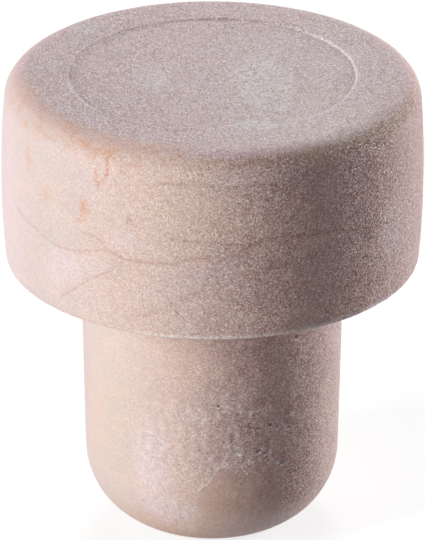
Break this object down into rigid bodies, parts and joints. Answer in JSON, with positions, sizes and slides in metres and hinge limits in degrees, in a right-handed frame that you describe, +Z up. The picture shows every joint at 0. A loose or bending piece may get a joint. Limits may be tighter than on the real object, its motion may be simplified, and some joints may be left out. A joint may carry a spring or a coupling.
{
  "type": "cork stopper",
  "caption": "T-shaped bottle stopper moulded in one piece: a thick round head with a softened top edge and a shallow sunken disc, over a tapered plug with a well-rounded end.",
  "frame": {"origin": "centre of the plug's flat end, which is the lowest point", "axes": "+Z up the axis of the stopper, from the plug's end to the head; X and Y are alike, because the stopper is round"},
  "size_m": [0.031, 0.031, 0.0356],
  "materials": {
    "stopper": "matt and finely frosted, pinkish tan, cork-coloured foam"
  },
  "bodies": {
    "root": {"stopper": "stopper"}
  },
  "joints": []
}
